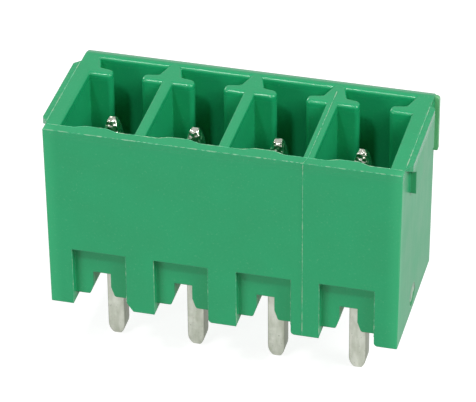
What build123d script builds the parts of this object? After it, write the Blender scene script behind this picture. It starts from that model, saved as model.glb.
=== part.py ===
"""Four-position vertical board header: one moulded housing and a row of square contact pins.

X runs along the row, Y from the front wall to the back wall, Z up from the board.
The origin is the middle of the pin row, on the plane of the board. Lengths are in millimetres.
"""

import os

from build123d import *

# Row of contacts
pitch = 3.81
positions = 4
pin_width = 0.8
pin_edge_radius = 0.06
contact_tip_height = 8.43
contact_tip_flat = 0.34
contact_tip_length = 1.15
solder_tail_length = 3.25
solder_tip_flat = 0.2
solder_tip_length = 0.55
solder_tip_side_flat = 0.5
solder_tip_side_length = 0.4
barb_height = 2.3
barb_length = 0.5
barb_reach = 0.07
barb_width = 0.5

# Housing walls
housing_height = 9.2
housing_depth = 7.25
front_to_pin_row = 2.82
end_pin_to_side = 2.4
side_draft = 0.08
front_wall = 0.48
back_wall = 0.72
end_wall = 0.68
corner_radius = 0.06
back_rim_slope_depth = 0.42
back_rim_slope_drop = 0.13
back_rim_radius = 0.12
back_rim_bend_radius = 0.3

# Shallow rib on the inner face of the front wall, in front of each contact
wall_rib_height = 0.22
wall_rib_crest_half_width = 0.45
wall_rib_foot_half_width = 0.95
wall_rib_offset = 0.1
wall_rib_radius = 0.3

# Cells between the partitions
cell_floor_height = 3.6
partition_thickness = 0.5
partition_rim_radius = 0.12

# Coding ribs, which are T-shaped seen from above
bar_front_to_back_wall = 1.42
bar_half_length = 1.21
bar_end_thickness = 0.5
bar_front_radius = 0.2
bar_shoulder_radius = 0.2
stem_half_width_at_bar = 0.56
stem_half_width_at_wall = 0.31
stem_length = 0.78
stem_root_radius = 0.12
rib_rim_radius = 0.17

# Notches in the foot of the front wall, and the channel round each pin under the cells
notch_width = 2.52
notch_height = 2.96
notch_depth = 0.42
underside_height = 0.38
channel_width = 0.82
channel_height = 1.6
channel_mouth_width = 1.16
channel_mouth_height = 0.88
mouth_radius = 0.12
foot_corner_radius = 0.18
chipped_leg = 1
chip_width = 0.3
chip_height = 0.42

# Raised pad on each side wall, with a nose under the rim at its front end
pad_thickness = 0.26
pad_front = 1.75
pad_back = 5.72
pad_bottom = 7.25
pad_back_radius = 0.15
nose_front = 0.65
nose_corner = 1.0
nose_front_height = 0.15
nose_back_height = 0.8

# Thin fin at the back of the right-hand side wall
fin_length = 0.22
fin_thickness = 0.24
fin_bottom = 6.28
fin_top = 9.07
fin_corner_radius = 0.16

# Gate mark low on the right-hand side wall
gate_from_front = 3.24
gate_height = 0.8
gate_dimple_radius = 0.56
gate_dimple_depth = 0.14
gate_stub_radius = 0.36
gate_stub_length = 0.1

# Places that follow from the values above
side_x = (positions - 1) * pitch / 2 + end_pin_to_side
front_y = -front_to_pin_row
back_y = front_y + housing_depth
cell_front_y = front_y + front_wall
cell_back_y = back_y - back_wall
bar_front_y = cell_back_y - bar_front_to_back_wall
inner_side_x = side_x - end_wall
overrun = 1.0
tolerance = 0.001


def pin_places():
    """Centre of each contact along the row."""
    return [(index - (positions - 1) / 2) * pitch for index in range(positions)]


def rib_places():
    """Centre of each coding rib: one at each partition and one at each end wall."""
    return [(index - positions / 2) * pitch for index in range(positions + 1)]


def side_wall_x(height):
    """Distance of a side wall's outer face from the middle, which grows a little towards the rim."""
    return side_x - side_draft * (1 - height / housing_height)


def outer_block():
    """Solid outside of the housing: drafted side walls, and a back wall that slopes off behind its rim."""
    side_view = FilletPolyline(
        (front_y, 0),
        (back_y, 0),
        (back_y, housing_height - back_rim_slope_drop),
        (back_y - back_rim_slope_depth, housing_height),
        (front_y, housing_height),
        radius=[0, 0, back_rim_radius, back_rim_bend_radius, 0],
        close=True,
    )
    front_view = Polyline(
        (-side_wall_x(0), 0),
        (side_wall_x(0), 0),
        (side_x, housing_height),
        (-side_x, housing_height),
        close=True,
    )
    from_the_side = extrude(make_face(Plane.YZ * side_view), amount=side_x, both=True)
    from_the_front = extrude(make_face(Plane.XZ * front_view), amount=housing_depth, both=True)
    block = from_the_side & from_the_front
    corners = block.edges().filter_by(lambda edge: abs(edge.tangent_at(0).Z) > 0.99)
    return fillet(corners, corner_radius)


def cell_outline(left_wall, right_wall, left_rib, right_rib):
    """Plan of one cell, from the front wall round the two halves of coding rib to the back wall."""
    shoulder_y = bar_front_y + bar_end_thickness
    root_y = cell_back_y - stem_length
    crest_y = cell_front_y + wall_rib_height
    wall_rib_x = (left_rib + right_rib) / 2 - wall_rib_offset
    right_half = [
        ((right_wall, cell_front_y), 0),
        ((right_wall, bar_front_y), 0),
        ((right_rib - bar_half_length, bar_front_y), bar_front_radius),
        ((right_rib - bar_half_length, shoulder_y), bar_shoulder_radius),
        ((right_rib - stem_half_width_at_bar, root_y), stem_root_radius),
        ((right_rib - stem_half_width_at_wall, cell_back_y), 0),
    ]
    left_half = [
        ((left_rib + stem_half_width_at_wall, cell_back_y), 0),
        ((left_rib + stem_half_width_at_bar, root_y), stem_root_radius),
        ((left_rib + bar_half_length, shoulder_y), bar_shoulder_radius),
        ((left_rib + bar_half_length, bar_front_y), bar_front_radius),
        ((left_wall, bar_front_y), 0),
        ((left_wall, cell_front_y), 0),
    ]
    wall_rib = [
        ((wall_rib_x - wall_rib_foot_half_width, cell_front_y), wall_rib_radius),
        ((wall_rib_x - wall_rib_crest_half_width, crest_y), wall_rib_radius),
        ((wall_rib_x + wall_rib_crest_half_width, crest_y), wall_rib_radius),
        ((wall_rib_x + wall_rib_foot_half_width, cell_front_y), wall_rib_radius),
    ]
    corners = right_half + left_half + wall_rib
    points = [point for point, radius in corners]
    radii = [radius for point, radius in corners]
    return make_face(FilletPolyline(*points, radius=radii, close=True))


def cell_hollow(index):
    """Space inside one cell, from its floor up through the open rim."""
    ribs = rib_places()
    left_rib, right_rib = ribs[index], ribs[index + 1]
    left_wall = -inner_side_x if index == 0 else left_rib + partition_thickness / 2
    right_wall = inner_side_x if index == positions - 1 else right_rib - partition_thickness / 2
    plan = Pos(0, 0, cell_floor_height) * cell_outline(left_wall, right_wall, left_rib, right_rib)
    return extrude(plan, amount=housing_height - cell_floor_height + overrun)


def round_rims(shell):
    """Soft edges where the tops of the ribs, the back wall and the partitions drop into the cells."""
    rim = shell.edges().filter_by_position(Axis.Z, housing_height - tolerance, housing_height + tolerance)
    inside = rim.filter_by_position(Axis.X, -inner_side_x - tolerance, inner_side_x + tolerance)
    behind_bar = inside.filter_by_position(Axis.Y, bar_front_y - tolerance, cell_back_y + tolerance)
    shell = fillet(behind_bar, rib_rim_radius)
    rim = shell.edges().filter_by_position(Axis.Z, housing_height - tolerance, housing_height + tolerance)
    inside = rim.filter_by_position(Axis.X, -inner_side_x - tolerance, inner_side_x + tolerance)
    beside_cell = inside.filter_by(Axis.Y).filter_by_position(Axis.Y, cell_front_y, bar_front_y)
    return fillet(beside_cell, partition_rim_radius)


def front_notch(x):
    """Opening at the foot of the front wall, in front of one solder tail."""
    notch = Box(
        notch_width,
        notch_depth + overrun,
        notch_height + overrun,
        align=(Align.CENTER, Align.MAX, Align.MAX),
    )
    return Pos(x, front_y + notch_depth, notch_height) * notch


def underside_recess(x):
    """Shallow space under one cell, from front to back between the feet."""
    recess = Box(
        notch_width,
        housing_depth + overrun,
        underside_height + overrun,
        align=(Align.CENTER, Align.MIN, Align.MAX),
    )
    return Pos(x, front_y, underside_height) * recess


def pin_channel(x):
    """Channel under one cell, from the notch to the back wall, wider at its mouth."""
    outline = Polyline(
        (-channel_mouth_width / 2, -overrun),
        (-channel_mouth_width / 2, underside_height),
        (-channel_width / 2, channel_mouth_height),
        (-channel_width / 2, channel_height),
        (channel_width / 2, channel_height),
        (channel_width / 2, channel_mouth_height),
        (channel_mouth_width / 2, underside_height),
        (channel_mouth_width / 2, -overrun),
        close=True,
    )
    section = make_face(Plane.XZ * outline)
    channel = extrude(section, amount=housing_depth, both=True)
    return Pos(x, 0, 0) * channel


def edges_along_y(body, height, places):
    """Edges of the body that run from front to back at one height and at the given distances along the row."""
    level = body.edges().filter_by_position(Axis.Z, height - tolerance, height + tolerance).filter_by(Axis.Y)
    found = []
    for place in places:
        found += level.filter_by_position(Axis.X, place - tolerance, place + tolerance)
    return found


def round_legs(body):
    """Soft corner at the foot of each leg of the front wall, on the side that faces a notch."""
    corners = [x + notch_width / 2 for x in pin_places()]
    return fillet(edges_along_y(body, 0, corners), foot_corner_radius)


def round_mouths(body):
    """Soft corners where the channels open under the floor."""
    corners = []
    for x in pin_places():
        corners += [x - channel_mouth_width / 2, x + channel_mouth_width / 2]
    return fillet(edges_along_y(body, underside_height, corners), mouth_radius)


def chipped_corner():
    """Corner missing from the foot of one leg of the front wall, as on the real moulding."""
    leg_side = rib_places()[chipped_leg] - pitch / 2 + notch_width / 2
    corner = Polyline((0, 0), (chip_width, 0), (0, chip_height), close=True)
    wedge = extrude(make_face(Plane.XZ * corner), amount=-notch_depth)
    return Pos(leg_side, front_y, 0) * wedge


def side_pad():
    """Raised pad on the right-hand side wall, just under the rim."""
    plan = FilletPolyline(
        (-end_wall / 2, front_y + pad_front),
        (pad_thickness, front_y + pad_front),
        (pad_thickness, front_y + pad_back),
        (0, front_y + pad_back + pad_thickness),
        (-end_wall / 2, front_y + pad_back + pad_thickness),
        radius=[0, 0, pad_back_radius, 0, 0],
        close=True,
    )
    plate = extrude(make_face(plan), amount=housing_height - pad_bottom)
    return Pos(side_x, 0, pad_bottom) * plate


def pad_nose():
    """Nose that carries the top of the pad forward to the front wall, slanting in plan and underneath."""
    side_view = Polyline(
        (front_y + pad_front, housing_height),
        (front_y + nose_front, housing_height),
        (front_y + nose_front, housing_height - nose_front_height),
        (front_y + pad_front, housing_height - nose_back_height),
        close=True,
    )
    plan = Polyline(
        (-end_wall / 2, front_y + nose_front),
        (0, front_y + nose_front),
        (pad_thickness, front_y + nose_corner),
        (pad_thickness, front_y + pad_front),
        (-end_wall / 2, front_y + pad_front),
        close=True,
    )
    from_the_side = extrude(make_face(Plane.YZ * side_view), amount=end_wall, both=True)
    from_above = extrude(make_face(plan), amount=housing_height)
    return Pos(side_x, 0, 0) * (from_the_side & from_above)


def corner_fin():
    """Thin fin that stands out of the right-hand side, level with the back wall."""
    outline = FilletPolyline(
        (-end_wall / 2, fin_bottom),
        (fin_length, fin_bottom),
        (fin_length, fin_top),
        (-end_wall / 2, fin_top),
        radius=[0, fin_corner_radius / 2, fin_corner_radius, 0],
        close=True,
    )
    fin = extrude(Plane.XZ * make_face(outline), amount=fin_thickness)
    return Pos(side_x, back_y - back_rim_radius, 0) * fin


def gate_cylinder(radius, length):
    """Disc on the right-hand side wall at the gate, reaching inwards from its face."""
    disc = Cylinder(radius, length, align=(Align.CENTER, Align.CENTER, Align.MAX))
    return Pos(side_wall_x(gate_height), front_y + gate_from_front, gate_height) * (Rot(0, 90, 0) * disc)


def housing():
    """The whole moulding, gripping each pin on all its faces where the pin passes the cell floor."""
    body = outer_block()
    for index in range(positions):
        body -= cell_hollow(index)
    body = round_rims(body)
    for x in pin_places():
        body -= front_notch(x)
        body -= underside_recess(x)
    body = round_legs(body)
    for x in pin_places():
        body -= pin_channel(x)
    body = round_mouths(body)
    body -= chipped_corner()
    right_side = side_pad() + pad_nose()
    body += right_side
    body += mirror(right_side, about=Plane.YZ)
    body += corner_fin()
    body -= gate_cylinder(gate_dimple_radius, gate_dimple_depth)
    stub = gate_cylinder(gate_stub_radius, gate_stub_length)
    body += Pos(gate_stub_length - gate_dimple_depth, 0, 0) * stub
    for x in pin_places():
        body -= contact_pin(x)
    return body


def pin_profile(solder_flat, solder_length):
    """Outline of a pin seen from one side, with a blunt rounded point at each end."""
    half = pin_width / 2
    top_flat = contact_tip_flat / 2
    tail_flat = solder_flat / 2
    shaft_top = contact_tip_height - contact_tip_length
    shaft_bottom = solder_length - solder_tail_length
    right = [
        TangentArc((half, shaft_bottom), (tail_flat, -solder_tail_length), tangent=(0, -1)),
        Line((half, shaft_bottom), (half, shaft_top)),
        TangentArc((half, shaft_top), (top_flat, contact_tip_height), tangent=(0, 1)),
    ]
    left = [mirror(edge, about=Plane.YZ) for edge in right]
    ends = [
        Line((-top_flat, contact_tip_height), (top_flat, contact_tip_height)),
        Line((-tail_flat, -solder_tail_length), (tail_flat, -solder_tail_length)),
    ]
    return make_face(right + left + ends)


def retention_barb():
    """Wedge pressed out of the right-hand face of a pin, which bites into the cell floor."""
    wedge = Polyline(
        (pin_width / 2, barb_height),
        (pin_width / 2 + barb_reach, barb_height),
        (pin_width / 2, barb_height + barb_length),
        close=True,
    )
    return extrude(Plane.XZ * make_face(wedge), amount=barb_width / 2, both=True)


def contact_pin(x):
    """Square pin with both ends coined on all four faces and a barb on each side."""
    front_view = pin_profile(solder_tip_flat, solder_tip_length)
    side_view = pin_profile(solder_tip_side_flat, solder_tip_side_length)
    seen_from_front = extrude(Plane.XZ * front_view, amount=pin_width, both=True)
    seen_from_side = extrude(Plane.YZ * side_view, amount=pin_width, both=True)
    drawn_wire = RectangleRounded(pin_width, pin_width, pin_edge_radius)
    bar = extrude(drawn_wire, amount=contact_tip_height + solder_tail_length, both=True)
    pin = seen_from_front & seen_from_side & bar
    barb = retention_barb()
    return Pos(x, 0, 0) * (pin + barb + mirror(barb, about=Plane.YZ))


def main():
    os.makedirs("parts", exist_ok=True)
    export_step(housing(), "parts/housing.step")
    for number, x in enumerate(pin_places(), start=1):
        export_step(contact_pin(x), f"parts/contact_pin_{number}.step")


main()
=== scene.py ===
# %% [markdown]
# # A four-way board header, dressed for a studio photograph
#
# The part is the fixed half of a pluggable terminal block: one green moulding that stands on a circuit board,
# and four square metal pins that pass through its floor. The plug drops in from above, between the T-shaped
# coding ribs, and grips the upper ends of the pins. The lower ends are soldered into the board.
#
# The solids come from the CAD model, in metres, and they are never moved. This file adds what a solid model
# leaves out: the finish of the plastic, the thin flash along the mould's parting edges, pins with smooth coined
# ends, and a plain studio with a camera where the photographer stood.

# %% Load the CAD model
import math

import bpy
from mathutils import Matrix, Vector


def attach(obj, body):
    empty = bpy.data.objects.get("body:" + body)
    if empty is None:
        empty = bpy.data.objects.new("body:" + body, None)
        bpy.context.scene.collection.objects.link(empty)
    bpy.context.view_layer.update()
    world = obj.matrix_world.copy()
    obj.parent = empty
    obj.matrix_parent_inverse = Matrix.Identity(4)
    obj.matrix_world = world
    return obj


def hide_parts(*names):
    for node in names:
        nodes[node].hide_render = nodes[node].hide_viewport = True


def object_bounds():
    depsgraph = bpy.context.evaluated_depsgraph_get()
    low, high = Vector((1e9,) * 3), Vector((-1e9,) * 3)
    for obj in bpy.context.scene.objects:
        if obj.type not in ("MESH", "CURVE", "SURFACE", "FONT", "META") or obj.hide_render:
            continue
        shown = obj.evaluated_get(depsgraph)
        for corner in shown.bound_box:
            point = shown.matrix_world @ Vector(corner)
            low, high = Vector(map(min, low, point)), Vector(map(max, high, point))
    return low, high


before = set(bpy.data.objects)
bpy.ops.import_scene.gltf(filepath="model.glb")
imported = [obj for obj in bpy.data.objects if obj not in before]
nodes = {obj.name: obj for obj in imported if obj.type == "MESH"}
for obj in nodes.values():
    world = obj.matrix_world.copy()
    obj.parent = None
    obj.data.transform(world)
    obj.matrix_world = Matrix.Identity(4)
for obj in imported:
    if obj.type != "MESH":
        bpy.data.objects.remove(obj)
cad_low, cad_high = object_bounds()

mm = 0.001
print("CAD box in mm:", [round((high - low) / mm, 2) for low, high in zip(cad_low, cad_high)])

# %% [markdown]
# ## Two small helpers
#
# Colours are easiest to choose as the hex values of a paint program, but Blender's sockets hold linear light, so
# one function turns the one into the other. The second function adds a node of any kind: it sets the node's own
# options, then fills its inputs, either with a plain value or with a wire from an earlier node.

# %% Helpers for colours and nodes
def linear(hex_colour):
    """An sRGB hex colour as linear red, green, blue and an alpha of 1."""
    channels = [int(hex_colour[i:i + 2], 16) / 255 for i in (1, 3, 5)]
    return [c / 12.92 if c <= 0.04045 else ((c + 0.055) / 1.055) ** 2.4 for c in channels] + [1.0]


def add(tree, kind, inputs=None, **options):
    """Add one node to a tree; inputs maps a socket's name or number to a value or to another node's output."""
    made = tree.nodes.new(kind)
    for name, value in options.items():
        setattr(made, name, value)
    for key, value in (inputs or {}).items():
        if isinstance(value, bpy.types.NodeSocket):
            tree.links.new(value, made.inputs[key])
        else:
            made.inputs[key].default_value = value
    return made


# %% [markdown]
# ## The camera
#
# The corners, notches and pins of the photograph were matched to the solid, which gives a long lens that looks
# down at 33.6 degrees from a little to the right of the front. Its frame is 476 by 402 pixels. A long lens keeps the
# upright edges of the part almost parallel, as they are in the photograph.

# %% Camera at the photographer's place
photo_width = 476
focal_length_px = 3263
azimuth = math.radians(14.586)
elevation = math.radians(33.561)
roll = math.radians(-0.485)
camera_place = Vector((30.807, -118.196, 85.889)) * mm

forward = Vector((
    -math.sin(azimuth) * math.cos(elevation),
    math.cos(azimuth) * math.cos(elevation),
    -math.sin(elevation),
))
level_right = Vector((math.cos(azimuth), math.sin(azimuth), 0))
level_up = level_right.cross(forward)
right = level_right * math.cos(roll) + level_up * math.sin(roll)
up = level_up * math.cos(roll) - level_right * math.sin(roll)

camera_data = bpy.data.cameras.new("camera")
camera_data.sensor_width = 36
camera_data.lens = focal_length_px / photo_width * camera_data.sensor_width
camera_data.clip_start = 10 * mm
camera = bpy.data.objects.new("camera", camera_data)
bpy.context.scene.collection.objects.link(camera)
camera.matrix_world = Matrix.Translation(camera_place) @ Matrix((right, up, -forward)).transposed().to_4x4()
bpy.context.scene.camera = camera
print("lens in mm:", round(camera_data.lens, 1))

# %% [markdown]
# ## The moulded polyamide of the housing
#
# The housing is polyamide 66, coloured right through and injection moulded in a spark-eroded tool. That gives the
# eye a satin surface: a deep, even green where you look straight at a wall, and a pale, greyish green where you look
# along one, because any plastic reflects more at a flat angle. Close up there is more to see. The colour is very
# slightly cloudy from the flow of the melt. A painted highlight makes the outer edges and the two front corners
# paler, and a painted glow lights the thin fin as if light passed through it. The side walls carry faint upright drag
# marks from leaving the mould. The plastic turned whitish where it was torn off the gate, and a painted highlight
# brightens it there further. And the rims are a little glossier than the walls.
#
# Pictures wrapped round the part could show the same marks, but noise and distances need no image file and stay
# sharp from any distance. They are drawn from object coordinates, so that nothing slides when the view changes.

# %% Colours of the moulding
polyamide_green = linear("#1AAA6C")
polyamide_cloud = linear("#1EB576")
# The next three greens paint light: a highlight on the outer edges, one on the two front corners, and a glow as if
# light passed through the thin fin. The edge green also tints the grain and the flash. The whitish colour is real
# whitening at the torn gate, with a painted highlight on top, and it also tints the drag marks and specks.
edge_green = linear("#58C995")
corner_highlight_green = linear("#3CCB88")
fin_glow_green = linear("#9ADFA0")
stressed_white = linear("#B9DDBE")
polyamide_ior = 1.53

# %% [markdown]
# ### Marks with a place of their own
#
# A mark with a place of its own needs a mask: a number that is 1 at the mark and falls to 0 round it. Measuring the
# distance from a point or from a line gives a round or a straight mark. Distances along one axis are left out by
# multiplying them by 0, so the same few nodes serve both.

# %% Masks by distance
def near(tree, place, centre, axes, reach):
    """1 within the first distance of reach from a point, 0 beyond the second; axes says which of X, Y, Z count."""
    inner, outer = reach
    apart = add(tree, "ShaderNodeVectorMath", {0: place, 1: centre}, operation="SUBTRACT")
    counted = add(tree, "ShaderNodeVectorMath", {0: apart.outputs["Vector"], 1: axes}, operation="MULTIPLY")
    distance = add(tree, "ShaderNodeVectorMath", {0: counted.outputs["Vector"]}, operation="LENGTH")
    mask = add(
        tree, "ShaderNodeMapRange",
        {"Value": distance.outputs["Value"], "From Min": inner, "From Max": outer, "To Min": 1.0, "To Max": 0.0},
        interpolation_type="SMOOTHSTEP",
    )
    return mask.outputs["Result"]


def tinted(tree, colour, tint, mask, strength):
    """The colour mixed with a tint where the mask is, up to a strength."""
    amount = add(tree, "ShaderNodeMath", {0: mask, 1: strength}, operation="MULTIPLY")
    mixed = add(tree, "ShaderNodeMix", {"Factor": amount.outputs[0], "A": colour, "B": tint}, data_type="RGBA")
    return mixed.outputs["Result"]


# %% Places of the marks on the moulding
side_x = 8.115 * mm
front_y = -2.82 * mm
back_y = 4.43 * mm
rim_z = 9.2 * mm
upright_line = (1, 1, 0)
corner_highlight_reach = (0.05 * mm, 0.75 * mm)
fin_centre = (side_x + 0.18 * mm, back_y, 0)
fin_axes = (1, 0.3, 0)
fin_reach = (0.16 * mm, 0.22 * mm)
gate_centre = Vector((8.04, 0.42, 0.8)) * mm
gate_reach = (0.35 * mm, 0.7 * mm)

# %% [markdown]
# ### Outer edges, for a painted highlight
#
# Where an edge lies is a matter of shape. It could be painted by hand, point by point, but the shader can find it.
# The bevel node looks a little way round each corner: where its normal differs from that of the flat face, there is
# an edge. An inner corner differs too, but it is closed in. The ambient occlusion node tells how open a place is, so
# only the outer edges count.

# %% Mask of the outer edges
bent_likeness = 0.7
shelter_reach = 0.25 * mm
sheltered, in_the_open = 0.7, 0.9


def outer_edges(tree, rounded_normal):
    """1 on an outer edge, 0 on a flat face and in an inner corner."""
    flat_normal = add(tree, "ShaderNodeNewGeometry").outputs["Normal"]
    likeness = add(tree, "ShaderNodeVectorMath", {0: rounded_normal, 1: flat_normal}, operation="DOT_PRODUCT")
    bent = add(
        tree, "ShaderNodeMapRange", {"Value": likeness.outputs["Value"], "From Min": 1.0, "From Max": bent_likeness},
    ).outputs["Result"]
    around = add(tree, "ShaderNodeAmbientOcclusion", {"Distance": shelter_reach}, samples=6)
    openness = add(
        tree, "ShaderNodeMapRange", {"Value": around.outputs["AO"], "From Min": sheltered, "From Max": in_the_open},
    ).outputs["Result"]
    return add(tree, "ShaderNodeMath", {0: bent, 1: openness}, operation="MULTIPLY").outputs[0]


# %% [markdown]
# ### Drag marks
#
# When the moulding is pushed out of the tool, its side walls rub along the steel. Noise that is drawn out along Z
# gives the upright streaks, and a second mask, by distance from the middle plane, keeps them on the two side walls.

# %% Mask of the drag marks
# Real scratches are a few hundredths of a millimetre apart, too fine to show, so they are drawn coarser.
drag_spacing = 0.16 * mm
drag_stretch = 0.06
drag_from, drag_to = 0.45, 0.7
wall_skin = 0.1 * mm


def drag_marks(tree, place):
    """Upright streaks on the two side walls, and 0 elsewhere."""
    drawn_out = add(tree, "ShaderNodeMapping", {"Vector": place, "Scale": (1, 1, drag_stretch)})
    streaks = add(
        tree, "ShaderNodeTexNoise",
        {"Vector": drawn_out.outputs["Vector"], "Scale": 1 / drag_spacing, "Detail": 2.0},
    )
    marks = add(
        tree, "ShaderNodeMapRange", {"Value": streaks.outputs["Fac"], "From Min": drag_from, "From Max": drag_to},
    ).outputs["Result"]
    across = add(tree, "ShaderNodeSeparateXYZ", {"Vector": place}).outputs["X"]
    across = add(tree, "ShaderNodeMath", {0: across}, operation="ABSOLUTE").outputs[0]
    outside = add(tree, "ShaderNodeMath", {0: across, 1: side_x - wall_skin}, operation="GREATER_THAN").outputs[0]
    return add(tree, "ShaderNodeMath", {0: marks, 1: outside}, operation="MULTIPLY").outputs[0]


# %% [markdown]
# ### The surface itself
#
# The walls take the dull skin of the eroded cavity, and the rims lie in a smoother part of the mould. So the
# roughness depends on the height, and drifts a little with the clouds in the colour. The fine grain of the tool is a
# noise that tints the surface, lifts it a little as a bump, and leaves sparse pale specks where it is highest.

# %% Finish of the moulding
# The real grain is about 0.03 mm. It is drawn three times as coarse, so that it shows at all.
cloud_size = 1.6 * mm
grain_size = 0.09 * mm
grain_depth = 0.006 * mm
grain_bump = 0.5
noise_low, noise_high = 0.3, 0.7
speck_from, speck_to = 0.66, 0.74
edge_reach = 0.07 * mm
wall_roughness, rim_roughness = 0.36, 0.21
rim_starts, rim_ends = rim_z - 0.5 * mm, rim_z - 0.2 * mm
roughness_drift = 0.03
# The first four strengths are of painted light, wholly or in part: the highlight on the outer edges and the front
# corners, the glow in the fin, and the highlight that adds to the whitening of the gate.
edge_highlight_strength = 0.4
corner_highlight_strength = 0.55
fin_glow_strength = 0.6
gate_whitening_and_highlight = 0.75
drag_strength = 0.08
mottle_strength = 0.07
speck_strength = 0.08


def moulded_roughness(tree, place, cloud):
    """Duller on the walls than at the rims, with a slow drift."""
    height = add(tree, "ShaderNodeSeparateXYZ", {"Vector": place}).outputs["Z"]
    by_height = add(tree, "ShaderNodeMapRange", {
        "Value": height, "From Min": rim_starts, "From Max": rim_ends,
        "To Min": wall_roughness, "To Max": rim_roughness,
    }).outputs["Result"]
    drift = add(tree, "ShaderNodeMapRange", {
        "Value": cloud, "From Min": noise_low, "From Max": noise_high,
        "To Min": -roughness_drift, "To Max": roughness_drift,
    }).outputs["Result"]
    return add(tree, "ShaderNodeMath", {0: drift, 1: by_height}, operation="ADD").outputs[0]


# %% The polyamide material
def moulded_polyamide():
    """Satin green polyamide: clouding, drag marks, a whitened gate, and painted light on the edges, corners, fin and
    gate.
    """
    material = bpy.data.materials.new("moulded_polyamide_66")
    material.use_nodes = True
    tree = material.node_tree
    tree.nodes.clear()
    place = add(tree, "ShaderNodeTexCoord").outputs["Object"]
    cloud = add(tree, "ShaderNodeTexNoise", {"Vector": place, "Scale": 1 / cloud_size, "Detail": 4.0}).outputs["Fac"]
    grain = add(tree, "ShaderNodeTexNoise", {"Vector": place, "Scale": 1 / grain_size, "Detail": 2.0}).outputs["Fac"]
    rounded_normal = add(tree, "ShaderNodeBevel", {"Radius": edge_reach}, samples=6).outputs["Normal"]
    colour = add(
        tree, "ShaderNodeMix", {"Factor": cloud, "A": polyamide_green, "B": polyamide_cloud}, data_type="RGBA",
    ).outputs["Result"]
    # Painted highlight: the outer edges turn paler.
    colour = tinted(tree, colour, edge_green, outer_edges(tree, rounded_normal), edge_highlight_strength)

    # Painted highlights on the two front corners, and a painted glow of light through the thin fin. The torn gate is
    # whitish, and a painted highlight brightens it further.
    for side in (-1, 1):
        corner = near(tree, place, (side * side_x, front_y, 0), upright_line, corner_highlight_reach)
        colour = tinted(tree, colour, corner_highlight_green, corner, corner_highlight_strength)
    fin = near(tree, place, fin_centre, fin_axes, fin_reach)
    colour = tinted(tree, colour, fin_glow_green, fin, fin_glow_strength)
    gate = near(tree, place, gate_centre, (1, 1, 1), gate_reach)
    colour = tinted(tree, colour, stressed_white, gate, gate_whitening_and_highlight)
    colour = tinted(tree, colour, stressed_white, drag_marks(tree, place), drag_strength)

    mottle = add(tree, "ShaderNodeMapRange", {"Value": grain, "From Min": noise_low, "From Max": noise_high})
    colour = tinted(tree, colour, edge_green, mottle.outputs["Result"], mottle_strength)
    specks = add(tree, "ShaderNodeMapRange", {"Value": grain, "From Min": speck_from, "From Max": speck_to})
    colour = tinted(tree, colour, stressed_white, specks.outputs["Result"], speck_strength)
    bump = add(
        tree, "ShaderNodeBump",
        {"Height": grain, "Distance": grain_depth, "Strength": grain_bump, "Normal": rounded_normal},
    )
    surface = add(tree, "ShaderNodeBsdfPrincipled", {
        "Base Color": colour, "Roughness": moulded_roughness(tree, place, cloud),
        "Normal": bump.outputs["Normal"], "IOR": polyamide_ior,
    })
    add(tree, "ShaderNodeOutputMaterial", {"Surface": surface.outputs["BSDF"]})
    return material


polyamide = moulded_polyamide()
housing = nodes["housing"]
housing.data.materials.clear()
housing.data.materials.append(polyamide)
print(polyamide.name, "has", len(polyamide.node_tree.nodes), "nodes")
print("the housing has", len(housing.data.polygons), "triangles")

# %% [markdown]
# ## Tin plating
#
# The pins are drawn brass wire with a thin coat of tin. Tin is nearly as bright as silver but a little warmer. It
# looks dull where the wire was handled and cut, and smooth where the mating end was coined in a polished die. So the
# roughness falls along the pin, from the solder tail up to the contact tip. Small pits and smudges break up the tail,
# and the soft dents that the die left break up the reflections of the tip.

# %% Colours and sizes of the tin
# A tip is only a dozen pixels wide, so its dents are drawn much deeper than real ones.
tin_bright = linear("#E6E8DC")
tin_worn = linear("#C8CCBC")
# Painted shade for the sides of the tails that face along the row:
tin_side_shade = linear("#A4A898")
tin_pit = linear("#8A8C80")
smudge_size = 0.4 * mm
smudge_stretch = 0.35
smudge_from, smudge_to = 0.36, 0.62
pit_size = 0.11 * mm
pit_from, pit_to = 0.66, 0.78
pit_strength = 0.5
dent_size = 0.3 * mm
dent_depth = 0.2 * mm
tail_dents = 0.25
tail_ends, tip_begins = 1 * mm, 5 * mm
tail_roughness, tip_roughness = 0.36, 0.22


# %% The colour of the tin
def tin_colour(tree, place, tail):
    """Smudged tin, pitted at the tails, with painted shade on the sides of the tails that face along the row."""
    drawn_out = add(tree, "ShaderNodeMapping", {"Vector": place, "Scale": (1, 1, smudge_stretch)})
    smudge = add(
        tree, "ShaderNodeTexNoise",
        {"Vector": drawn_out.outputs["Vector"], "Scale": 1 / smudge_size, "Detail": 4.0},
    ).outputs["Fac"]
    smudge = add(tree, "ShaderNodeMapRange", {"Value": smudge, "From Min": smudge_from, "From Max": smudge_to})
    colour = add(
        tree, "ShaderNodeMix", {"Factor": smudge.outputs["Result"], "A": tin_worn, "B": tin_bright}, data_type="RGBA",
    ).outputs["Result"]

    pits = add(tree, "ShaderNodeTexNoise", {"Vector": place, "Scale": 1 / pit_size, "Detail": 2.0}).outputs["Fac"]
    pitted = add(tree, "ShaderNodeMapRange", {"Value": pits, "From Min": pit_from, "From Max": pit_to})
    pitted_tail = add(tree, "ShaderNodeMath", {0: pitted.outputs["Result"], 1: tail}, operation="MULTIPLY")
    colour = tinted(tree, colour, tin_pit, pitted_tail.outputs[0], pit_strength)

    # Painted shade: at the tails, the two sides of the wire that face along the row are darker.
    facing = add(tree, "ShaderNodeSeparateXYZ", {"Vector": add(tree, "ShaderNodeNewGeometry").outputs["Normal"]})
    side_shade = add(tree, "ShaderNodeMath", {0: facing.outputs["X"]}, operation="ABSOLUTE").outputs[0]
    side_shade = add(tree, "ShaderNodeMath", {0: side_shade, 1: tail}, operation="MULTIPLY").outputs[0]
    return tinted(tree, colour, tin_side_shade, side_shade, 1.0)


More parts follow.
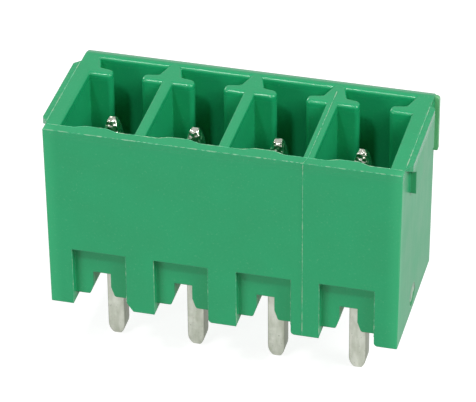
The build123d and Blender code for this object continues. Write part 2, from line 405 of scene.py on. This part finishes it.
# %% The tin material
def tin_plate():
    """Tin plating, satin and pitted at the solder tails and polished at the contact tips."""
    material = bpy.data.materials.new("tin_plated_brass")
    material.use_nodes = True
    tree = material.node_tree
    tree.nodes.clear()
    place = add(tree, "ShaderNodeTexCoord").outputs["Object"]
    height = add(tree, "ShaderNodeSeparateXYZ", {"Vector": place}).outputs["Z"]
    tail = add(
        tree, "ShaderNodeMapRange",
        {"Value": height, "From Min": tail_ends, "From Max": tip_begins, "To Min": 1.0, "To Max": 0.0},
    ).outputs["Result"]
    dullness = add(tree, "ShaderNodeMapRange", {"Value": tail, "To Min": tip_roughness, "To Max": tail_roughness})
    dents = add(tree, "ShaderNodeTexNoise", {"Vector": place, "Scale": 1 / dent_size, "Detail": 1.0}).outputs["Fac"]
    dented = add(tree, "ShaderNodeMapRange", {"Value": tail, "To Min": 1.0, "To Max": tail_dents})
    bump = add(
        tree, "ShaderNodeBump", {"Height": dents, "Distance": dent_depth, "Strength": dented.outputs["Result"]},
    )
    surface = add(tree, "ShaderNodeBsdfPrincipled", {
        "Base Color": tin_colour(tree, place, tail), "Roughness": dullness.outputs["Result"],
        "Normal": bump.outputs["Normal"], "Metallic": 1.0,
    })
    add(tree, "ShaderNodeOutputMaterial", {"Surface": surface.outputs["BSDF"]})
    return material


tin = tin_plate()
print(tin.name, "has", len(tin.node_tree.nodes), "nodes")

# %% [markdown]
# ## From a thread of points to a finished piece
#
# The pins and the flash are both made by Geometry Nodes from a thread: a mesh that has points and edges but no faces.
# The node tree turns the thread into a curve, gives it a thickness and a material, and its named inputs hold the
# sizes. The result is then copied to a plain mesh, because the exported model keeps meshes and not node trees.

# %% Threads and trees
def new_tree(name, sizes):
    """An empty Geometry Nodes tree with named inputs; sizes maps each name to its kind of socket."""
    tree = bpy.data.node_groups.new(name, "GeometryNodeTree")
    tree.interface.new_socket("Geometry", in_out="OUTPUT", socket_type="NodeSocketGeometry")
    tree.interface.new_socket("Geometry", in_out="INPUT", socket_type="NodeSocketGeometry")
    for size, kind in sizes.items():
        tree.interface.new_socket(size, in_out="INPUT", socket_type="NodeSocket" + kind)
    return tree, add(tree, "NodeGroupInput").outputs


def finish_tree(tree, geometry, material):
    """The last nodes of every tree: real geometry instead of instances, and the material on it."""
    real = add(tree, "GeometryNodeRealizeInstances", {"Geometry": geometry})
    dressed = add(tree, "GeometryNodeSetMaterial", {"Geometry": real.outputs["Geometry"], "Material": material})
    add(tree, "NodeGroupOutput", {"Geometry": dressed.outputs["Geometry"]})


def grow(name, threads, tree, settings):
    """Run a tree on threads, each a list of points in millimetres, and return the result as a plain object."""
    points = [Vector(point) * mm for thread in threads for point in thread]
    edges = []
    start = 0
    for thread in threads:
        edges += [(start + step, start + step + 1) for step in range(len(thread) - 1)]
        start += len(thread)
    line = bpy.data.meshes.new(name + "_thread")
    line.from_pydata(points, edges, [])
    carrier = bpy.data.objects.new(name + "_thread", line)
    bpy.context.scene.collection.objects.link(carrier)
    modifier = carrier.modifiers.new("grow", "NODES")
    modifier.node_group = tree
    for socket in tree.interface.items_tree:
        if socket.in_out == "INPUT" and socket.name in settings:
            modifier[socket.identifier] = settings[socket.name]
    grown = bpy.data.meshes.new_from_object(carrier.evaluated_get(bpy.context.evaluated_depsgraph_get()))
    bpy.data.objects.remove(carrier)
    grown.name = name
    piece = bpy.data.objects.new(name, grown)
    bpy.context.scene.collection.objects.link(piece)
    print(name, "has", len(grown.polygons), "faces")
    return piece


# %% [markdown]
# ## The row of contact pins
#
# Each pin is cut from square wire. The mating end is coined to a blunt, smooth point, and the solder end to a short
# wedge, wider from front to back than across. Seen from any side, each flank runs in on an arc that starts
# straight along the pin, and the rim of each end is rounded a little. One thread along a pin, with its points close
# together at the ends, becomes a square prism. The tree then pulls each ring of the prism in towards the middle
# by the height of the arc there, and sets four of these prisms along the row.
#
# One pin could be modelled by hand and copied, but here a new pitch or a blunter tip is a change of one number.

# %% Sizes of a pin, in millimetres
pin_count = 4
pitch = 3.81
pin_half = 0.4
edge_radius = 0.06
tip_height = 8.43
tail_height = -3.25
tip_inset, tip_length = 0.23, 1.15
tail_inset_across, tail_length_across = 0.28, 0.7
tail_inset_deep, tail_length_deep = 0.15, 0.5
tip_rim, tail_rim = 0.1, 0.11


def arc_radius(inset, length):
    """Radius of the arc that starts along the pin and comes in by an inset over a length."""
    return (inset ** 2 + length ** 2) / (2 * inset)


# %% How far an arc has come in
arcs = ("Tip", "Tail Across", "Tail Deep", "Tip Rim", "Tail Rim")


def inset_nodes(tree, distance, radius):
    """How far an arc of that radius has come in, at a distance along it: radius - sqrt(radius^2 - distance^2)."""
    along = add(tree, "ShaderNodeMath", {0: distance, 1: 0.0}, operation="MAXIMUM").outputs[0]
    squares = [
        add(tree, "ShaderNodeMath", {0: length, 1: length}, operation="MULTIPLY").outputs[0]
        for length in (radius, along)
    ]
    left = add(tree, "ShaderNodeMath", {0: squares[0], 1: squares[1]}, operation="SUBTRACT").outputs[0]
    left = add(tree, "ShaderNodeMath", {0: left, 1: 0.0}, operation="MAXIMUM").outputs[0]
    height = add(tree, "ShaderNodeMath", {0: left}, operation="SQRT").outputs[0]
    return add(tree, "ShaderNodeMath", {0: radius, 1: height}, operation="SUBTRACT").outputs[0]


def drawn_in(tree, given):
    """Where each point of the prism goes: in towards the middle by the sum of the arcs at its height."""
    position = add(tree, "GeometryNodeInputPosition").outputs["Position"]
    at = add(tree, "ShaderNodeSeparateXYZ", {"Vector": position}).outputs
    inset = {}
    for arc in arcs:
        ends = (at["Z"], given[arc + " Start"]) if arc.startswith("Tip") else (given[arc + " Start"], at["Z"])
        distance = add(tree, "ShaderNodeMath", {0: ends[0], 1: ends[1]}, operation="SUBTRACT").outputs[0]
        inset[arc] = inset_nodes(tree, distance, given[arc + " Radius"])
    drawn = {}
    for axis, arcs_here in (("X", ("Tip", "Tail Across")), ("Y", ("Tip", "Tail Deep"))):
        total = inset["Tip Rim"]
        for arc in ("Tail Rim",) + arcs_here:
            total = add(tree, "ShaderNodeMath", {0: total, 1: inset[arc]}, operation="ADD").outputs[0]
        left = add(tree, "ShaderNodeMath", {0: given["Half Width"], 1: total}, operation="SUBTRACT").outputs[0]
        share = add(tree, "ShaderNodeMath", {0: left, 1: given["Half Width"]}, operation="DIVIDE").outputs[0]
        drawn[axis] = add(tree, "ShaderNodeMath", {0: at[axis], 1: share}, operation="MULTIPLY").outputs[0]
    place = add(tree, "ShaderNodeCombineXYZ", {"X": drawn["X"], "Y": drawn["Y"], "Z": at["Z"]})
    return place.outputs["Vector"]


# %% A prism and a row of them
steps_round_edge = 3


def square_prism(tree, given):
    """Square wire with slightly rounded edges, along the thread."""
    line = add(tree, "GeometryNodeMeshToCurve", {"Mesh": given["Geometry"]})
    width = add(tree, "ShaderNodeMath", {0: given["Half Width"], 1: 2.0}, operation="MULTIPLY").outputs[0]
    square = add(tree, "GeometryNodeCurvePrimitiveQuadrilateral", {"Width": width, "Height": width})
    wire = add(
        tree, "GeometryNodeFilletCurve",
        {"Curve": square.outputs["Curve"], "Radius": given["Edge Radius"], "Count": steps_round_edge}, mode="POLY",
    )
    prism = add(
        tree, "GeometryNodeCurveToMesh",
        {"Curve": line.outputs["Curve"], "Profile Curve": wire.outputs["Curve"], "Fill Caps": True},
    )
    return prism.outputs["Mesh"]


def along_row(tree, given, pin):
    """Instances of one pin at even steps, with the middle of the row at the origin."""
    gaps = add(tree, "ShaderNodeMath", {0: given["Pins"], 1: 1.0}, operation="SUBTRACT").outputs[0]
    start = add(tree, "ShaderNodeMath", {0: gaps, 1: -0.5}, operation="MULTIPLY").outputs[0]
    start = add(tree, "ShaderNodeMath", {0: start, 1: given["Pitch"]}, operation="MULTIPLY").outputs[0]
    row = add(tree, "GeometryNodeMeshLine", {
        "Count": given["Pins"],
        "Start Location": add(tree, "ShaderNodeCombineXYZ", {"X": start}).outputs["Vector"],
        "Offset": add(tree, "ShaderNodeCombineXYZ", {"X": given["Pitch"]}).outputs["Vector"],
    })
    pins = add(tree, "GeometryNodeInstanceOnPoints", {"Points": row.outputs["Mesh"], "Instance": pin})
    return pins.outputs["Instances"]


# %% The tree of the pin row
def pin_row_tree():
    """Square prism along the thread, drawn in at both ends and repeated along the row."""
    sizes = {"Half Width": "Float", "Edge Radius": "Float", "Pitch": "Float", "Pins": "Int", "Material": "Material"}
    for arc in arcs:
        sizes[arc + " Radius"] = "Float"
        sizes[arc + " Start"] = "Float"
    tree, given = new_tree("coined_pin_row", sizes)
    coined = add(
        tree, "GeometryNodeSetPosition", {"Geometry": square_prism(tree, given), "Position": drawn_in(tree, given)},
    )
    finish_tree(tree, along_row(tree, given, coined.outputs["Geometry"]), given["Material"])
    return tree


# %% Points of the thread
# Rings lie close together in each rounded rim, then at even steps over the coined length and a little beyond it.
rim_steps = [0.0, 0.003, 0.01, 0.02, 0.034, 0.05, 0.07, 0.09, 0.11]
coin_steps = [0.15 + 0.05 * step for step in range(22)]
beyond = 0.1
tail_steps = rim_steps + [step for step in coin_steps if step < tail_length_across + beyond]
tip_steps = rim_steps + [step for step in coin_steps if step < tip_length + beyond]
tail_points = [(0, 0, tail_height + step) for step in tail_steps]
tip_points = [(0, 0, tip_height - step) for step in reversed(tip_steps)]
print("points along a pin:", len(tail_points + tip_points))

# %% Grow the pins
sharpest_rounding = math.radians(35)
contact_row = grow("contact_row", [tail_points + tip_points], pin_row_tree(), {
    "Half Width": pin_half * mm,
    "Edge Radius": edge_radius * mm,
    "Pitch": pitch * mm,
    "Pins": pin_count,
    "Material": tin,
    "Tip Radius": arc_radius(tip_inset, tip_length) * mm,
    "Tip Start": (tip_height - tip_length) * mm,
    "Tail Across Radius": arc_radius(tail_inset_across, tail_length_across) * mm,
    "Tail Across Start": (tail_height + tail_length_across) * mm,
    "Tail Deep Radius": arc_radius(tail_inset_deep, tail_length_deep) * mm,
    "Tail Deep Start": (tail_height + tail_length_deep) * mm,
    "Tip Rim Radius": tip_rim * mm,
    "Tip Rim Start": (tip_height - tip_rim) * mm,
    "Tail Rim Radius": tail_rim * mm,
    "Tail Rim Start": (tail_height + tail_rim) * mm,
})
contact_row.data.shade_smooth()
contact_row.data.set_sharp_from_angle(angle=sharpest_rounding)
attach(contact_row, "root")
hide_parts("contact_pin_1", "contact_pin_2", "contact_pin_3", "contact_pin_4")

# %% [markdown]
# ## Flash and witness lines
#
# Where two halves of a mould meet, a little melt creeps into the joint and leaves a thin, ragged thread of plastic,
# called flash. It is so thin that it looks pale. On this part it runs along both top edges of the front wall and the
# seams of the raised pads, up the edges of the notches, and straight over the part in line with the third partition,
# where one insert of the mould ends. A pale line painted on would look flat, while a real bead catches the light. So
# each line is a thread again, and the tree lays beads of random thickness along it, which makes it look broken in
# places and heavy in others.

# %% The tree of the flash
bead_sides = 6


def flash_tree():
    """A thin ragged bead along each thread."""
    tree, given = new_tree("ragged_flash", {
        "Spacing": "Float", "Thickness": "Float", "Raggedness": "Float", "Seed": "Int", "Material": "Material",
    })
    line = add(tree, "GeometryNodeMeshToCurve", {"Mesh": given["Geometry"]})
    beads = add(
        tree, "GeometryNodeResampleCurve", {"Curve": line.outputs["Curve"], "Length": given["Spacing"]}, mode="LENGTH",
    )
    radius = add(tree, "ShaderNodeMath", {0: given["Thickness"], 1: 0.5}, operation="MULTIPLY").outputs[0]
    section = add(tree, "GeometryNodeCurvePrimitiveCircle", {"Resolution": bead_sides, "Radius": radius})
    least = add(tree, "ShaderNodeMath", {0: 1.0, 1: given["Raggedness"]}, operation="SUBTRACT").outputs[0]
    most = add(tree, "ShaderNodeMath", {0: 1.0, 1: given["Raggedness"]}, operation="ADD").outputs[0]
    chance = add(tree, "FunctionNodeRandomValue", {2: least, 3: most, "Seed": given["Seed"]}, data_type="FLOAT")
    ragged = add(
        tree, "GeometryNodeCurveToMesh",
        {
            "Curve": beads.outputs["Curve"], "Profile Curve": section.outputs["Curve"],
            "Scale": chance.outputs[1], "Fill Caps": True,
        },
    )
    finish_tree(tree, ragged.outputs["Mesh"], given["Material"])
    return tree


# %% Paths along the front rim
# A thread lies on an edge, or within a hair of it, so that about half of each bead stands out.
pins_x = [(index - (pin_count - 1) / 2) * pitch for index in range(pin_count)]
rim = 9.195
outer_rim_height = 9.185
inner_front = -2.34
outer_front = -2.8
outer_end = 8.08
inner_end = 8.0
outer_rim = [(-outer_end, outer_front, outer_rim_height), (outer_end, outer_front, outer_rim_height)]

# The inner edge of the front wall swells round each contact and crosses the partitions.
swell_shift = 0.1
crest_half = 0.45
swell_half = 0.95
swell_depth = 0.2
inner_rim = [(-inner_end, inner_front, rim)]
for x in pins_x:
    crest = x - swell_shift
    inner_rim += [
        (crest - swell_half, inner_front, rim), (crest - crest_half, inner_front + swell_depth, rim),
        (crest + crest_half, inner_front + swell_depth, rim), (crest + swell_half, inner_front, rim),
    ]
inner_rim.append((inner_end, inner_front, rim))

# %% Paths along the pads, the notches and the witness line
seam_x = 8.11
seam_front, seam_back = -2.1, 3.0
pad_seams = [[(side * seam_x, seam_front, rim), (side * seam_x, seam_back, rim)] for side in (-1, 1)]

# The corner of a leg to the right of a notch is cut off, so that thread starts higher up.
notch_half = 1.26
notch_top = 2.96
leg_foot, cut_foot = 0.05, 0.5
notch_edges = []
for x in pins_x:
    for edge_x, foot in ((x - notch_half, leg_foot), (x + notch_half, cut_foot)):
        notch_edges.append([(edge_x, outer_front, foot), (edge_x, outer_front, notch_top)])

# The witness line goes up the front, a little to the left of the partition, and back over the top.
witness_x = 3.81
face_x = witness_x - 0.12
face_y = -2.822
face_top = 9.15
over_z = 9.203
over_points = [(witness_x - 0.1, -2.78), (witness_x, -2.3), (witness_x, 3.3)]
witness = [
    [(face_x, face_y, leg_foot), (face_x, face_y, face_top)],
    [(x, y, over_z) for x, y in over_points],
]
print("threads of flash:", 2 + len(pad_seams) + len(notch_edges) + len(witness))

# %% The plastic of the flash
flash_white = linear("#A6D6B0")
patch_size = 0.5 * mm
patch_from, patch_to = 0.4, 0.62
flash_roughness = 0.4


def thin_polyamide():
    """The same plastic drawn out thin: patches of pale green and nearly white."""
    material = bpy.data.materials.new("thin_polyamide_flash")
    material.use_nodes = True
    tree = material.node_tree
    tree.nodes.clear()
    place = add(tree, "ShaderNodeTexCoord").outputs["Object"]
    patches = add(tree, "ShaderNodeTexNoise", {"Vector": place, "Scale": 1 / patch_size, "Detail": 3.0}).outputs["Fac"]
    spread = add(tree, "ShaderNodeMapRange", {"Value": patches, "From Min": patch_from, "From Max": patch_to})
    colour = add(
        tree, "ShaderNodeMix",
        {"Factor": spread.outputs["Result"], "A": edge_green, "B": flash_white}, data_type="RGBA",
    )
    surface = add(tree, "ShaderNodeBsdfPrincipled", {
        "Base Color": colour.outputs["Result"], "Roughness": flash_roughness, "IOR": polyamide_ior,
    })
    add(tree, "ShaderNodeOutputMaterial", {"Surface": surface.outputs["BSDF"]})
    return material


# %% Lay the flash
# For each line: its threads, its mean thickness in mm, how much that varies, and the seed of its random beads.
bead_spacing = 0.11 * mm
flash_plastic = thin_polyamide()
ragged_flash = flash_tree()
lines = {
    "rim_flash": ([outer_rim, inner_rim], 0.04, 0.45, 3),
    "pad_seam_flash": (pad_seams, 0.046, 0.5, 5),
    "notch_flash": (notch_edges, 0.036, 0.6, 7),
    "witness_line": (witness, 0.027, 0.8, 11),
}
for name, (threads, thickness, raggedness, seed) in lines.items():
    flash = grow(name, threads, ragged_flash, {
        "Spacing": bead_spacing, "Thickness": thickness * mm, "Raggedness": raggedness, "Seed": seed,
        "Material": flash_plastic,
    })
    flash.data.shade_smooth()
    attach(flash, "root")

# %% [markdown]
# ## The studio
#
# The photograph has a pure white ground and hardly any shadow. The main light is a large soft lamp high on the
# right, so the faces inside the cells that look right are light and the floors of the cells are nearly black. A small
# lamp above the front puts the bright lines on the rounded rims of the coding ribs. A low one on the left fills the
# notches, and a wide one behind lights the back for the other views. A bright sky alone would be simpler, but it
# lights the cells from all sides and makes them look flat.
#
# The ground is white to the camera and to reflections, while it sheds little light: a darker paper with some glow
# of its own, which only those rays see. The sky is made in the same way.

# %% World
dome_light = 0.2
sky_in_reflections = 0.6
world = bpy.data.worlds.new("studio")
bpy.context.scene.world = world
world.use_nodes = True
sky = world.node_tree
sky.nodes.clear()
path = add(sky, "ShaderNodeLightPath").outputs
strength = dome_light
for ray, seen in (("Is Camera Ray", 1.0), ("Is Glossy Ray", sky_in_reflections), ("Is Transmission Ray", 1.0)):
    strength = add(
        sky, "ShaderNodeMath", {0: path[ray], 1: seen - dome_light, 2: strength}, operation="MULTIPLY_ADD",
    ).outputs[0]
dome = add(sky, "ShaderNodeBackground", {"Color": (1, 1, 1, 1), "Strength": strength})
add(sky, "ShaderNodeOutputWorld", {"Surface": dome.outputs["Background"]})
print("sky to diffuse rays and in reflections:", dome_light, sky_in_reflections)

# %% The paper of the floor
paper_grey = linear("#A8A8A8")
glow_to_camera = 0.86
glow_in_reflections = 0.5


def white_paper():
    """Grey paper that glows to the camera and in reflections, so it looks white and still shows the shadow."""
    paper = bpy.data.materials.new("white_paper")
    paper.use_nodes = True
    tree = paper.node_tree
    tree.nodes.clear()
    sheet = add(tree, "ShaderNodeBsdfDiffuse", {"Color": paper_grey})
    path = add(tree, "ShaderNodeLightPath").outputs
    glow = 0.0
    for ray, seen in (
        ("Is Camera Ray", glow_to_camera), ("Is Glossy Ray", glow_in_reflections),
        ("Is Transmission Ray", glow_in_reflections),
    ):
        glow = add(tree, "ShaderNodeMath", {0: path[ray], 1: seen, 2: glow}, operation="MULTIPLY_ADD").outputs[0]
    lift = add(tree, "ShaderNodeEmission", {"Color": (1, 1, 1, 1), "Strength": glow})
    both = add(tree, "ShaderNodeAddShader", {0: sheet.outputs[0], 1: lift.outputs[0]})
    add(tree, "ShaderNodeOutputMaterial", {"Surface": both.outputs[0]})
    return paper


# %% Floor
floor_height = cad_low.z
floor_reach = 0.6
corners = [(floor_reach * x, floor_reach * y, floor_height) for x, y in ((-1, -1), (1, -1), (1, 1), (-1, 1))]
floor_mesh = bpy.data.meshes.new("floor")
floor_mesh.from_pydata(corners, [], [(0, 1, 2, 3)])
floor_mesh.materials.append(white_paper())
floor = bpy.data.objects.new("floor", floor_mesh)
bpy.context.scene.collection.objects.link(floor)
print("floor height in mm:", round(floor_height / mm, 2))

# %% Lamps
middle_of_part = Vector((0, 0, 3 * mm))


def softbox(name, place, size, level):
    """A square lamp that faces the part and lights it to a level, where 1 shows a colour as it is written."""
    place = Vector(place)
    data = bpy.data.lights.new(name, "AREA")
    data.shape = "SQUARE"
    data.size = size
    data.energy = level * math.pi ** 2 * place.length_squared
    lamp = bpy.data.objects.new(name, data)
    bpy.context.scene.collection.objects.link(lamp)
    turn = (middle_of_part - place).to_track_quat("-Z", "Y").to_matrix().to_4x4()
    lamp.matrix_world = Matrix.Translation(place) @ turn
    print(name, "shines with", round(data.energy, 2), "watts")


# Places and sizes are in metres.
softbox("key", place=(0.32, -0.11, 0.3), size=0.2, level=0.62)
softbox("rim_light", place=(-0.09, -0.22, 0.36), size=0.04, level=0.22)
softbox("front_fill", place=(-0.3, -0.36, 0.1), size=0.15, level=0.22)
softbox("back_fill", place=(-0.36, 0.24, 0.13), size=0.24, level=0.3)

# %% [markdown]
# ## Finish
#
# The view transform is set to Standard.

# %% Finish
bpy.context.scene.view_settings.view_transform = "Standard"
